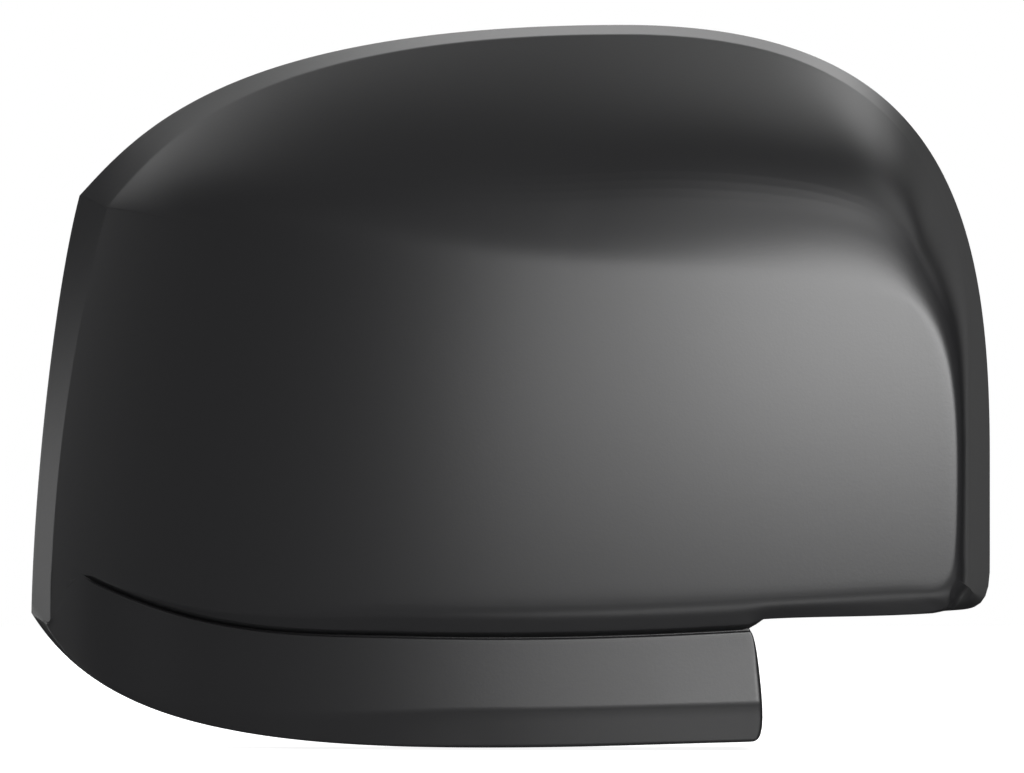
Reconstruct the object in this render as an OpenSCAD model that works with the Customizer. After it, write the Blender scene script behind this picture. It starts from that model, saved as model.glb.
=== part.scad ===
// Wing mirror cover: one moulded shell, open at the back, with its ribs, towers,
// locating pins and snap hooks moulded on.
// +X runs along the cover to its inner, vehicle-side end, +Z is up, and the open rim
// lies in the plane Y = 0 with the outer face on the -Y side.
// The origin is the axis of the main locating pin, in the rim plane.

/* [Outline] */
// Height of the rim's highest point above the main pin
top_z = 90.5; // [86:0.5:96]
// Distance from the main pin to the inner, vehicle-side end
inner_end_x = 119.5; // [114:0.5:126]
// Distance from the main pin to the outer end at its lower corner
outer_end_x = 120.3; // [116:0.5:126]
// Depth of the lowest point of the lower strip below the main pin
strip_low_z = 90; // [86:0.5:96]
// Distance from the main pin to the end of the lower strip, where the arm notch begins
notch_x = 58.5; // [50:0.5:64]

/* [Front face] */
// Greatest depth of the shell, from the rim plane to the front face
depth = 88; // [78:1:98]
// Depth of the flat band at the rim on the outer end and the top
band_depth = 8; // [6:0.5:10]
// How sharply the front face curves away towards the outer end
sweep = 3.2; // [2.6:0.1:3.6]
// Fall of the front face from its fullest height up to the crease
crown = 4.6; // [2:0.2:6]
// Width of the band on the outer end, seen from the front
band_side_w = 6; // [4:0.25:7]
// Width of the band at the upper corner of the outer end
band_corner_w = 7.1; // [5.5:0.1:8]
// Width of the band at the top of the rim, seen from the front
band_top_w = 2.6; // [2:0.1:3.5]

/* [Lower strip] */
// How far the lower strip lies behind the front face
strip_recess = 4.5; // [3:0.25:6]
// Height of the groove between the front face and the lower strip
groove_h = 1.6; // [1.2:0.1:2.2]
// Depth of the groove behind the face of the lower strip
groove_d = 3; // [2.2:0.1:3.6]
// Height of the bevel under the front face
bevel_h = 4.8; // [4:0.2:5.6]
// Height of the bevel along the bottom of the lower strip
strip_bevel_h = 8.8; // [6:0.2:10]
// How far the lower strip's bevel falls back
strip_bevel_d = 4; // [2.5:0.25:5]
// How far the strip's end bulges past its upper corner
end_bulge = 4; // [2:0.25:5]

/* [Wall] */
// Thickness of the shell's wall
wall = 2.5; // [2:0.1:3]

/* [Ribs and towers] */
// Thickness of the ribs and of the towers' webs
rib_t = 2; // [1.4:0.1:2.6]
// Height of the stiffening ribs above the inner face
rib_h = 9; // [6:0.5:14]
// Width of a tower's crossed webs
tower_w = 13; // [10:0.5:16]
// Radius of the locating pins
pin_r = 2.5; // [2:0.1:3]
// Free length of the locating pins, from the tower's top to the tip
pin_len = 12; // [10:0.5:14]
// How far the pins' tips stand past the rim plane
pin_out = 2; // [1:0.5:4]

/* [Snap hooks] */
// Width of a snap hook
hook_w = 9; // [6:0.5:12]
// Thickness of a snap hook's tongue
hook_t = 2.2; // [1.8:0.1:3]
// Length of a snap hook from its root to its tip
hook_len = 20; // [16:1:26]
// Height of the barb at a snap hook's tip
barb_h = 2; // [1.4:0.1:2.6]

/* [Hidden] */
$fn = 48;
body_color = [0.19, 0.19, 0.2];

// Stations along the top and the bottom, along each side, and on the lower strip
nx = 36;
nz = 9;
ns = 27;
nm = nx - ns;
// Rows of a section: band edge, strip bevel, strip top, groove, face bevel and ring
k_band = 2;
k_bev = 4;
k_top = 8;
k_in = 9;
k_out = 10;
k_face = 11;
k_ring = 13;
inner_rows = [0, 2, 4, 6, 7, 8, 11, 12, 13];

// General curve helpers
function mix(a, b, t) = a + (b - a) * t;
function clamp(v) = min(1, max(0, v));
function ease(v) = let (c = clamp(v)) c * c * (3 - 2 * c);
function bez(p, t) = pow(1 - t, 3) * p[0] + 3 * pow(1 - t, 2) * t * p[1]
    + 3 * (1 - t) * t * t * p[2] + t * t * t * p[3];
function unit(v) = v / norm(v);
function left_of(v) = [-v[1], v[0]];

// Rim outline, seen from the front: outer side, top, inner side and bottom
low_corner = [-outer_end_x, -56.5];
high_corner = [-outer_end_x + 12, 47.8];
apex = [28, top_z];
inner_side = [inner_end_x, -17];
side_bez = [low_corner, low_corner + [0.4, 27], high_corner - [6.8, 26.1], high_corner];
rise_bez = [high_corner, high_corner + [15.2, 16.7], apex - [98.3, 0], apex];
fall_bez = [apex, apex + [80.1, 0], inner_side + [0, 61.9], inner_side];
corner_bez = [inner_side - [0, 28], inner_side - [0, 38.5],
    [inner_end_x - 3.5, -55.6], [inner_end_x - 9.5, -56]];
belly_bez = [low_corner, low_corner + [17, -27.5], [-68, -strip_low_z], [-10, -strip_low_z]];
keel_bez = [[-10, -strip_low_z], [15, -strip_low_z], [35, 0.9 - strip_low_z], [notch_x, 1.6 - strip_low_z]];
// Where the fall of the outline passes the upper inner corner
fall_share = 0.56;

// Waist: the groove's centre line, and past the notch the bottom edge
waist_start = [-108.4, -46.2];
waist_mid = [-28, -61.3];
waist_bez = [waist_start, [-76.6, -62.1], [-52, -60.8], waist_mid];
waist_end_bez = [waist_mid, [30, -62.6], [70, -58.5], [110, -56]];

// Crease over the front face and the round corners that it runs into
face_end_x = 109.5;
crease_end = [49, 30];
round_end = [face_end_x, -23];
crease_bez = [[-101.1, 44.7], [-42.6, 34.2], [1.1, 32.9], crease_end];
round_bez = [crease_end, [98, 26.5], [face_end_x, 28], round_end];
lower_round_bez = [round_end, [face_end_x, -43], [109, -50.2], [101, -51.3]];
// Shares of the crease's own length, of the round corner and of the ring's top side
crease_start = 0.032;
crease_share = 0.74;
round_share = 0.5;

// Front view position of the band's inner edge on the outer end
band_foot_z = -62;
band_lean = 14.3;
function band_x(z) = -outer_end_x + band_side_w - 1 + band_lean * pow(max(0, z - band_foot_z) / 107, 2);
// Height of the waist below a place on the front face
function waist_z(x) = x < waist_start[0] ? waist_start[1]
    : waist_root(x, x < waist_mid[0] ? waist_bez : waist_end_bez, 0, 1, 12)[1];
function waist_root(x, b, lo, hi, n) = let (m = (lo + hi) / 2, p = bez(b, m))
    n == 0 ? p : p[0] < x ? waist_root(x, b, m, hi, n - 1) : waist_root(x, b, lo, m, n - 1);

// Depth of the front face at a place seen from the front, fullest at this height
full_z = -32;
function swell(x, z) = 1 - pow(max(0, 1 - max(0, x - band_x(z)) / (face_end_x - band_x(z))), sweep);
function fall(z) = crown * pow((z - full_z) / (crease_end[1] + 3 - full_z), 2);
function face_d(x, z) = band_depth + (depth - band_depth - fall(z)) * swell(x, z);
// Depth of the lower strip, which leans out a little towards its bottom
strip_lean = 0.05;
function strip_fade(x) = ease((x - waist_start[0]) / 30);
function strip_d(x, z) = let (w = waist_z(x))
    band_depth + (depth - band_depth - fall(w) + strip_lean * max(0, w - z)) * swell(x, z)
    - strip_recess * strip_fade(x);
function on_face(p) = [p[0], -face_d(p[0], p[1]), p[1]];

// Points of the ring round the front face
function crease_pt(t) = t < crease_share
    ? bez(crease_bez, mix(crease_start, 1, pow(t / crease_share, 1.3)))
    : bez(round_bez, round_share * (t - crease_share) / (1 - crease_share));
side_share = 0.6;
bevel_from_x = -100;
bevel_reach = 75;
bevel_start_h = 0.7;
function inner_edge_pt(t) = t < side_share ? bez(round_bez, mix(round_share, 1, t / side_share))
    : bez(lower_round_bez, corner_share * (t - side_share) / (1 - side_share));
function bevel_share(x) = ease((x - bevel_from_x) / bevel_reach);
function bevel_rise(x) = groove_h / 2 + mix(bevel_start_h, bevel_h, bevel_share(x));
function lower_edge_pt(x) = [x, waist_z(x) + bevel_rise(x)];
function outer_edge_pt(t) = let (z = mix(waist_start[1] + bevel_rise(waist_start[0]), crease_pt(0)[1], t))
    [mix(waist_start[0], crease_pt(0)[0], (band_x(z) - band_x(-45)) / (band_x(43) - band_x(-45))), z];

// A section from the rim over the dome to the ring, and the pull of its curve's handles.
// Round the upper inner corner the crown is fuller: a stronger pull and a steeper wall
handle = 0.62;
crown_pull = 0.84;
crown_turn = 77;
function cross_at(p, a, q, b) = let (det = cos(a) * sin(b) - sin(a) * cos(b), v = q - p)
    abs(det) < 0.02 ? (p + q) / 2
    : p + [cos(a), sin(a)] * (v[0] * sin(b) - v[1] * cos(b)) / det;
// Share of that curve for a row, even or gathered at its foot as in the strip's sections
foot_share = 0.12;
bend_share = 0.4;
function row_share(k, gathered) = mix((k - k_band) / (k_ring - k_band),
    k <= k_out ? foot_share * (k - k_band) / (k_out - k_band)
    : mix(bend_share, 1, (k - k_face) / (k_ring - k_face)), gathered);
function dome_section(rim, edge, edge_d, ring, rim_turn, ring_turn, share, gathered = 0, pull = handle) =
    let (
        span = norm(ring - edge),
        way = (ring - edge) / span,
        p = [0, edge_d],
        q = [span, face_d(ring[0], ring[1])],
        chord = atan2(q[1] - p[1], span),
        corner = cross_at(p, mix(chord, rim_turn, share), q, mix(chord, ring_turn, share)),
        curve = [p, mix(p, corner, pull), mix(q, corner, pull), q]
    )
    [for (k = [0 : k_ring]) k < k_band
        ? let (f = mix(rim, edge, k / k_band)) [f[0], -edge_d * k / k_band, f[1]]
        : let (c = bez(curve, row_share(k, gathered)), f = edge + way * c[0]) [f[0], -c[1], f[1]]];

// Outer end: flat band, then the edge of the front face
function side_section(t) =
    let (
        rim = bez(side_bez, t),
        ring = outer_edge_pt(t),
        corner = bottom_band_pt(0),
        free_edge = [mix(corner[0], band_x(rim[1]), ease(t / 0.15)), mix(corner[1], rim[1], ease(t / 0.1))],
        edge = mix(free_edge, bez(crease_bez, 0), ease((t - 0.8) / 0.2))
    )
    [for (k = [0 : k_ring]) k < k_band
        ? let (f = mix(rim, edge, k / k_band)) [f[0], -band_depth * k / k_band, f[1]]
        : on_face(mix(edge, ring, (k - k_band) / (k_ring - k_band)))];

// Top, from the high corner over the apex to the round upper corner
top_share = 0.6;
corner_band_w = 3.4;
corner_band_d = 16;
function top_rim(t) = t < top_share ? bez(rise_bez, t / top_share)
    : bez(fall_bez, fall_share * (t - top_share) / (1 - top_share));
function top_section(t) =
    let (
        rim = top_rim(t),
        inward = unit(-left_of(top_rim(min(1, t + 0.01)) - top_rim(max(0, t - 0.01)))),
        cornering = ease((t - 0.72) / 0.28),
        edge_d = band_depth + 2 * ease(t / 0.3) + (corner_band_d - 2) * cornering,
        width = mix(mix(band_corner_w, band_top_w, ease(t / 0.58)), corner_band_w, cornering),
        free_edge = rim + inward * width,
        edge = mix(bez(crease_bez, 0), free_edge, ease(t / 0.16))
    )
    dome_section(rim, edge, edge_d, crease_pt(t), mix(62, crown_turn, ease((t - 0.52) / 0.45)),
        mix(20, 9, ease((t - 0.5) / 0.4)), ease(t / 0.15),
        pull = mix(handle, crown_pull, ease((t - 0.3) / 0.45)));

// Inner side, from the round upper corner down to the lower inner corner
draft = 5;
wall_end_d = depth - 9;
corner_share = 0.62;
fold_w = 5.6;
side_drop = inner_side - corner_bez[0];
function inner_rim(t) = t < 0.7 ? bez(fall_bez, mix(fall_share, 1, t / 0.7))
    : t < 0.88 ? inner_side - side_drop * (t - 0.7) / 0.18
    : bez(corner_bez, corner_share * (t - 0.88) / 0.12);
function inner_section(t) =
    let (
        rim = inner_rim(t),
        inward = unit(-left_of(inner_rim(min(1, t + 0.01)) - inner_rim(max(0, t - 0.01)))),
        edge_d = mix(band_depth + corner_band_d, wall_end_d, ease(t / 0.7)),
        width = mix(corner_band_w, edge_d * tan(draft), ease(t / 0.6)),
        edge = rim + inward * mix(width, fold_w, clamp((t - 0.93) / 0.07))
    )
    dome_section(rim, edge, edge_d, inner_edge_pt(t), mix(crown_turn, 90 - draft, ease(t / 0.6)),
        mix(9, 3, ease(t / 0.5)), 1, pull = mix(crown_pull, handle, ease(t / 0.5)));

// Depths at the groove: its bottom, and the lower edge of the front face's bevel
function groove_back_d(x) = strip_d(x, waist_z(x) - groove_h / 2) - groove_d;
function lip_d(x) = let (r = lower_edge_pt(x)) face_d(r[0], r[1])
    - (strip_recess - 0.3) * strip_fade(x) * mix(0.35, 1, bevel_share(x));

// Bottom edge past the notch: the wall from the rim, then the bevel up to the ring.
// It starts on the height of the groove's upper edge and comes down to the waist.
turn_share = 0.22;
sill_h = 1.1;
sill_start = 4;
sill_reach = 40;
function sill_rise(x) = let (past = x - notch_x)
    sill_h * ease(past / sill_start) * (1 - ease((past - sill_start) / sill_reach));
function bottom_rim(s) = s < turn_share ? bez(corner_bez, mix(corner_share, 1, s / turn_share))
    : let (x = mix(corner_bez[3][0], notch_x, (s - turn_share) / (1 - turn_share)))
    [x, waist_z(x) + sill_rise(x)];
function bottom_ring(s) = s < turn_share ? bez(lower_round_bez, mix(corner_share, 1, s / turn_share))
    : lower_edge_pt(mix(lower_round_bez[3][0], notch_x, (s - turn_share) / (1 - turn_share)));
function bottom_section(s) =
    let (
        rim = bottom_rim(s),
        ring = bottom_ring(s),
        turned = ease((s - 0.04) / 0.36),
        gathered = ease(s / 0.24),
        lip = rim + unit(ring - rim) * mix(fold_w, groove_h / 2, clamp(s / 0.3)),
        back_d = groove_back_d(lip[0]),
        low_d = back_d + groove_d - strip_bevel_d,
        end_dip = groove_h * (1 - groove_floor),
        round_rows = dome_section(rim, lip, wall_end_d, ring, 90 - draft, 3, 1, gathered),
        flat_rows = [for (k = [0 : k_ring])
            let (
                u = k <= k_band ? 0.9 * k / k_band : min(1, mix(0.9, 1, (k - k_band) / (k_out - k_band))),
                d = k <= k_band ? low_d * k / k_band : mix(low_d, back_d, (k - k_band) / (k_out - k_band)),
                v = (k - k_face) / (k_ring - k_face),
                dip = k == k_out ? end_dip * ease(1 - (rim[0] - notch_x) / sill_start) : 0,
                f = k <= k_out ? mix(rim, lip, u) - [0, dip] : mix(lip, ring, v)
            )
            [f[0], -(k <= k_out ? d : mix(lip_d(lip[0]), face_d(ring[0], ring[1]), v)), f[1]]]
    )
    mix(round_rows, flat_rows, turned);

// Bottom of the lower strip, from the low corner to the notch.
// A plain section leaves the groove out, for the inner face behind it.
ridge_h = 2.2;
groove_start = 0.035;
groove_floor = 0.3;
belly_share = 0.62;
edge_w = 0.75;
function belly_pt(t) = t < belly_share ? bez(belly_bez, t / belly_share)
    : bez(keel_bez, (t - belly_share) / (1 - belly_share));
function strip_x(t) = mix(waist_start[0], notch_x, t < 0.3 ? 0.8 * t : mix(0.24, 1, (t - 0.3) / 0.7));
function bottom_band_pt(t) =
    let (rim = belly_pt(t), x = strip_x(t))
    mix(rim + unit([x, waist_z(x)] - rim) * edge_w, [band_x(low_corner[1] - 3), low_corner[1] - 3],
        pow(1 - clamp(t / 0.12), 2));
function strip_section(t, plain) =
    let (
        rim = belly_pt(t),
        x = strip_x(t),
        w = [x, waist_z(x)],
        grown = ease(t / groove_start),
        gap = groove_h / 2 * grown,
        edge = bottom_band_pt(t),
        bevelled = ease((t - 0.1) / 0.55),
        bev = edge + unit(w - edge) * mix(1, strip_bevel_h, bevelled),
        top = w - [0, gap],
        lip = w + [0, gap],
        ring = lower_edge_pt(x),
        bev_d = strip_d(bev[0], bev[1]),
        edge_d = mix(band_depth, bev_d - mix(0.8, strip_bevel_d, bevelled), grown),
        back_d = groove_back_d(x) + groove_d * (1 - grown)
    )
    [for (k = [0 : k_ring])
        k < k_band ? let (f = mix(rim, edge, k / k_band)) [f[0], -edge_d * k / k_band, f[1]]
        : k < k_bev ? let (s = (k - k_band) / (k_bev - k_band), f = mix(edge, bev, s))
            [f[0], -mix(edge_d, bev_d, s), f[1]]
        : k < k_top || k == k_top && !plain
            ? let (f = mix(bev, top, (k - k_bev) / (k_top - k_bev))) [f[0], -strip_d(f[0], f[1]), f[1]]
        : k <= k_face && plain
            ? [x, -back_d, w[1] + mix(-ridge_h, gap, (k - k_top) / (k_face - k_top)) * grown]
        : k == k_in ? [top[0], -back_d, top[1]]
        : k == k_out ? [lip[0], -back_d, mix(top[1], lip[1], groove_floor)]
        : let (s = (k - k_face) / (k_ring - k_face))
            [x, -mix(lip_d(x), face_d(ring[0], ring[1]), s), mix(lip[1], ring[1], s)]];

// End wall of the strip: rows in front of the groove's bottom fall back to it
function end_step(rows, limit, drop) = [for (k = [0 : len(rows) - 1])
    let (r = rows[k]) -r[1] > limit ? [r[0], -limit, r[2] - drop] : r];

// All sections, clockwise from the low corner of the outer end as seen from the front
st_top = nz;
st_inner = nz + nx;
st_bottom = 2 * nz + nx;
st_past = st_bottom + nm;
st_step = st_past + 1;
st_end = st_past + 2;
st_count = st_end + ns;
function sections(plain) = concat(
    [for (j = [0 : nz - 1]) side_section(j / nz)],
    [for (i = [0 : nx - 1]) top_section(i / nx)],
    [for (j = [0 : nz - 1]) inner_section(j / nz)],
    [for (i = [0 : nm]) bottom_section(i / nm)],
    [end_step(strip_section(1, plain), groove_back_d(notch_x), 0.3)],
    [for (i = [ns : -1 : 1]) strip_section(i / ns, plain)]);
outer_rows = sections(false);
plain_rows = sections(true);

// Front face between its four sides, as seen from the front
function ring_station(i, j) = i == 0 ? j : j == nz ? st_top + i : i == nx ? st_bottom - j
    : i >= ns ? st_bottom + nx - i : st_end + ns - i;
function ring_front(i, j) = let (r = outer_rows[ring_station(i, j) % st_count][k_ring]) [r[0], r[2]];
function front_pt(i, j) = let (u = i / nx, v = j / nz)
    mix(ring_front(i, 0), ring_front(i, nz), v) + mix(ring_front(0, j), ring_front(nx, j), u)
    - mix(mix(ring_front(0, 0), ring_front(nx, 0), u), mix(ring_front(0, nz), ring_front(nx, nz), u), v);
function face_normal(p) =
    let (e = 0.2, gx = (face_d(p[0] + e, p[1]) - face_d(p[0] - e, p[1])) / (2 * e),
        gz = (face_d(p[0], p[1] + e) - face_d(p[0], p[1] - e)) / (2 * e))
    unit([-gx, -1, -gz]);
patch = [for (i = [1 : nx - 1]) for (j = [1 : nz - 1]) front_pt(i, j)];

// Inner face: each point of the plain sections set in by the wall
function row_normal(st, k) =
    let (
        before = st == st_end ? st : (st + st_count - 1) % st_count,
        after = st == st_past ? st : (st + 1) % st_count,
        along = plain_rows[after][k] - plain_rows[before][k],
        across = plain_rows[st][min(k_ring, k + 1)] - plain_rows[st][max(0, k - 1)]
    )
    unit(cross(across, along));
function inner_point(st, k) =
    let (p = plain_rows[st][k], n = row_normal(st, k), f = face_normal([p[0], p[2]]))
    k == 0 ? let (flat = n[0] * n[0] + n[2] * n[2]) [p[0] - wall * n[0] / flat, 0, p[2] - wall * n[2] / flat]
    : k == k_ring ? p - wall * f
    : st > st_bottom && st <= st_past && k <= k_top ? p - wall * n + [0, wall, 0]
    : p - wall * n;
function at_end(p) = [notch_x - wall, p[1], p[2]];
function inner_section_pts(st) = [for (k = inner_rows)
    (st == st_past || st == st_end) && k != k_ring ? at_end(inner_point(st, k)) : inner_point(st, k)];
inner_pts = [for (st = [0 : st_count - 1]) st == st_step
    ? let (end = inner_section_pts(st_end)) end_step(end, -end[5][1], 0) : inner_section_pts(st)];

// The strip's end bulges between the groove and the bottom edge, on both skins alike
bulge_reach = 24;
strip_end_z = waist_z(notch_x) - groove_h / 2;
function bulged(p, lift) = let (v = clamp((strip_end_z - p[2]) / (strip_end_z - lift - belly_pt(1)[1])))
    let (reach = ease((p[0] + lift - notch_x) / bulge_reach + 1))
    p + [end_bulge * reach * pow(v, 0.45) * sqrt(1 - pow(v, 8)), 0, 0];

// One skin as points and triangles. Points that coincide at the end wall share a number.
function skin_points(rows, lift) = concat([for (s = rows) for (p = s) bulged(p, lift)],
    [for (f = patch) on_face(f) - lift * face_normal(f)]);
function skin_faces(n, i_in, i_out) =
    let (
        base = st_count * n,
        at = function (st, k) let (s = st % st_count)
            (s == st_step || s == st_end) && k >= i_out ? st_past * n + k
            : s == st_step && (k <= 1 || k >= i_in) ? st_end * n + k
            : s * n + k,
        inside = function (i, j) i == 0 || i == nx || j == 0 || j == nz
            ? at(ring_station(i, j), n - 1) : base + (i - 1) * (nz - 1) + j - 1,
        quads = concat(
            [for (st = [0 : st_count - 1]) for (k = [0 : n - 2])
                [at(st, k), at(st + 1, k), at(st + 1, k + 1), at(st, k + 1)]],
            [for (i = [0 : nx - 1]) for (j = [0 : nz - 1])
                [inside(i, j), inside(i, j + 1), inside(i + 1, j + 1), inside(i + 1, j)]])
    )
    [for (q = quads) each corners_cut(q)];
function corners_cut(q) = let (f = [for (i = [0 : 3]) if (q[i] != q[(i + 1) % 4]) q[i]])
    len(f) == 4 ? [[f[0], f[1], f[2]], [f[0], f[2], f[3]]] : len(f) == 3 ? [f] : [];

module shell() {
    outer = skin_points(outer_rows, 0);
    inner = skin_points(inner_pts, wall);
    n_out = k_ring + 1;
    n_in = len(inner_rows);
    shift = len(outer);
    rim = [for (st = [0 : st_count - 1]) if (st != st_step)
        let (next = st == st_past ? st_end : (st + 1) % st_count)
        [next * n_out, st * n_out, shift + st * n_in, shift + next * n_in]];
    polyhedron(concat(outer, inner), concat(
        skin_faces(n_out, k_in, k_out),
        [for (f = skin_faces(n_in, 5, 7)) [f[2] + shift, f[1] + shift, f[0] + shift]],
        [for (q = rim) each corners_cut(q)]));
}

// Depth of the inner face behind a place on the front face, and of a plane inside the wall
function inner_d(x, z) = face_d(x, z) + wall / face_normal([x, z])[1];
function root_d(x, z) = inner_d(x, z) + wall / 2;

// An upright plate on the inner face, from one place on it to another.
// Its back edge follows the face at height h, or lies at depth flat_d where that is given.
function plate_rows(a, b, n, h, flat_d) = let (side = left_of(unit(b - a)) * rib_t / 2)
    [for (i = [0 : n]) let (m = mix(a, b, i / n), d = root_d(m[0], m[1]),
        back = flat_d > 0 ? flat_d : inner_d(m[0], m[1]) - h)
        [[m[0] + side[0], -d, m[1] + side[1]], [m[0] - side[0], -d, m[1] - side[1]],
         [m[0] - side[0], -back, m[1] - side[1]], [m[0] + side[0], -back, m[1] + side[1]]]];
module plate(a, b, n, h = 0, flat_d = 0) {
    rows = plate_rows(a, b, n, h, flat_d);
    polyhedron([for (r = rows) each r], concat(
        [[0, 1, 2, 3], [for (c = [3 : -1 : 0]) 4 * n + c]],
        [for (i = [0 : n - 1]) for (c = [0 : 3]) let (q = 4 * i + c, w = 4 * i + (c + 1) % 4)
            each [[w + 4, w, q], [q + 4, w + 4, q]]]));
}

// Stiffening ribs, as lines on the front view
rib_top_z = 24;
rib_low_z = -47;
upright_xs = [-36, 34, 96];
level_zs = [13, -33];
level_ends = [-84, 100];
module ribs() {
    for (x = upright_xs) plate([x, rib_low_z], [x, rib_top_z], 5, h = rib_h);
    for (z = level_zs) plate([level_ends[0], z], [level_ends[1], z], 12, h = rib_h);
}

// Towers with a locating pin each; the first one is the main pin
pin_places = [[0, 0], [70, -10], [-66, -10]];
pin_lead = 1;
pin_lead_w = 0.7;
collar_w = 2;
collar_h = 3;
module tower(p) {
    top_d = pin_len - pin_out;
    plate(p - [tower_w / 2, 0], p + [tower_w / 2, 0], 1, flat_d = top_d);
    plate(p - [0, tower_w / 2], p + [0, tower_w / 2], 1, flat_d = top_d);
    translate([p[0], -top_d, p[1]]) rotate([90, 0, 0])
        cylinder(r = pin_r + collar_w, h = collar_h);
    translate([p[0], pin_out - pin_lead, p[1]]) rotate([90, 0, 0])
        cylinder(r = pin_r, h = pin_len - pin_lead + collar_h / 2);
    translate([p[0], pin_out, p[1]]) rotate([90, 0, 0])
        cylinder(r1 = pin_r - pin_lead_w, r2 = pin_r, h = pin_lead);
}

// Snap hooks on the wall inside the rim, at these stations
hook_stations = [st_top + 16, st_top + 29, st_inner + 7, st_bottom + 5, st_end + 7, st_end + 15];
hook_root_d = 16;
hook_foot = 4;
hook_gap = 2.2;
hook_embed = 1.2;
module hook(st) {
    rows = inner_pts[st];
    function wall_at(d) = [for (c = [0, 2]) lookup(d, [for (i = [0 : 3]) [-rows[i][1], rows[i][c]]])];
    near = wall_at(hook_root_d - hook_foot);
    far = wall_at(hook_root_d);
    inward = unit([rows[0][0] - plain_rows[st][0][0], rows[0][2] - plain_rows[st][0][2]]);
    reach = inward * (far - near);
    front = hook_len - hook_root_d;
    tongue = reach + hook_gap;
    translate([near[0], 0, near[1]]) rotate([0, atan2(-inward[1], inward[0]), 0])
        linear_extrude(hook_w, center = true)
        polygon([[reach - hook_embed, -hook_root_d], [-hook_embed, hook_foot - hook_root_d],
            [tongue, hook_foot - hook_root_d],
            [tongue, front - 2 * barb_h], [tongue - barb_h, front - 2 * barb_h],
            [tongue - barb_h, front - 1.4 * barb_h],
            [tongue + hook_t / 2, front], [tongue + hook_t, front], [tongue + hook_t, -hook_root_d]]);
}

module mirror_cover() {
    color(body_color) {
        shell();
        ribs();
        for (p = pin_places) tower(p);
        for (st = hook_stations) hook(st);
    }
}

mirror_cover();
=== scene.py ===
"""Wing mirror cover: the moulded shell with its finish, on a pale studio floor.

Sizes are in millimetres until a mesh is written. +X runs along the cover to its inner,
vehicle-side end, +Z is up, and the open rim lies in the plane Y = 0 with the outer face
on the -Y side. The origin is the axis of the main locating pin.
"""
import math
from collections import namedtuple
from functools import lru_cache

import bmesh
import bpy
from bpy.props import FloatProperty, FloatVectorProperty, IntProperty, PointerProperty
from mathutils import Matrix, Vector


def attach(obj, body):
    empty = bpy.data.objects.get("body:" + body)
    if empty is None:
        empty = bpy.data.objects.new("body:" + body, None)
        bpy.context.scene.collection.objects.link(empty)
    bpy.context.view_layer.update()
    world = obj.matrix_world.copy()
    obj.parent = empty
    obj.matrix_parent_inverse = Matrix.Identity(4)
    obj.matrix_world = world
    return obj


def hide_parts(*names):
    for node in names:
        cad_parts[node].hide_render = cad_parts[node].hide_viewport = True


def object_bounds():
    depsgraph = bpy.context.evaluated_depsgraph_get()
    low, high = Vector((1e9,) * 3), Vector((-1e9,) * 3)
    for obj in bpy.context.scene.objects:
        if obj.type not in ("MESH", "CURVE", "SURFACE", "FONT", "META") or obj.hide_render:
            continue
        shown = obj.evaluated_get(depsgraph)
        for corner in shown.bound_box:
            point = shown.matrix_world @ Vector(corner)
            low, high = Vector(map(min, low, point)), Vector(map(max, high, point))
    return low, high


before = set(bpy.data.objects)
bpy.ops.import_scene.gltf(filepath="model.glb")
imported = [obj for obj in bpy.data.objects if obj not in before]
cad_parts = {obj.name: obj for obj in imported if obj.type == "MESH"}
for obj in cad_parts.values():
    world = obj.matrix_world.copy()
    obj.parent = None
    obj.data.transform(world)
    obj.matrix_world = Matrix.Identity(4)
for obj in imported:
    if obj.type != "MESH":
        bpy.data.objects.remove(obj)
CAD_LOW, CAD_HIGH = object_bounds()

bl_info = {
    "name": "Wing mirror cover",
    "version": (1, 0, 0),
    "blender": (4, 5, 0),
    "location": "View3D > Sidebar > Mirror Cover",
    "description": "Builds a moulded wing mirror cover and the studio it stands in",
    "category": "Object",
}

MM = 0.001
NODE = "mirror_cover"
BODY = "root"

# Driving sizes, as in the part's source
TOP_Z = 90.5
INNER_END_X = 119.5
OUTER_END_X = 120.3
STRIP_LOW_Z = 90.0
NOTCH_X = 58.5
DEPTH = 88.0
BAND_DEPTH = 8.0
SWEEP = 3.2
CROWN = 4.6
BAND_SIDE_W = 6.0
BAND_CORNER_W = 7.1
BAND_TOP_W = 2.6
STRIP_RECESS = 4.5
GROOVE_H = 1.6
GROOVE_D = 3.0
BEVEL_H = 4.8
STRIP_BEVEL_H = 8.8
STRIP_BEVEL_D = 4.0
END_BULGE = 4.0
WALL = 2.5
RIB_T = 2.0
RIB_H = 9.0
TOWER_W = 13.0
PIN_R = 2.5
PIN_LEN = 12.0
PIN_OUT = 2.0
HOOK_W = 9.0
HOOK_T = 2.2
HOOK_LEN = 20.0
BARB_H = 2.0

# Rows of a section, counted from the rim to the ring round the front face
Rows = namedtuple("Rows", "band bevel top groove_in groove_out lip ring")
OUTER_ROWS = Rows(8, 11, 23, 24, 25, 26, 32)
INNER_ROWS = Rows(2, 4, 8, 9, 10, 11, 13)
INNER_KEPT = (0, 2, 4, 6, 7, 8, 11, 12, 13)
# Coarse stations along the top and bottom, along each side, and on the lower strip
NX, NZ, NS = 36, 9, 27
NM = NX - NS
# Fine stations between two coarse ones, and columns on the strip's end wall
FINE = 4
END_COLUMNS = 8
# Rows that a rounded edge is made of, less one
ROUND_STEPS = 4


def flat(x, z):
    """A place seen from the front, in millimetres."""
    return Vector((x, z))


def mix(a, b, t):
    return a + (b - a) * t


def clamp(v):
    return min(1.0, max(0.0, v))


def ease(v):
    c = clamp(v)
    return c * c * (3 - 2 * c)


def bezier(p, t):
    s = 1 - t
    return s**3 * p[0] + 3 * s * s * t * p[1] + 3 * s * t * t * p[2] + t**3 * p[3]


def left_of(v):
    return flat(-v.y, v.x)


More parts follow.
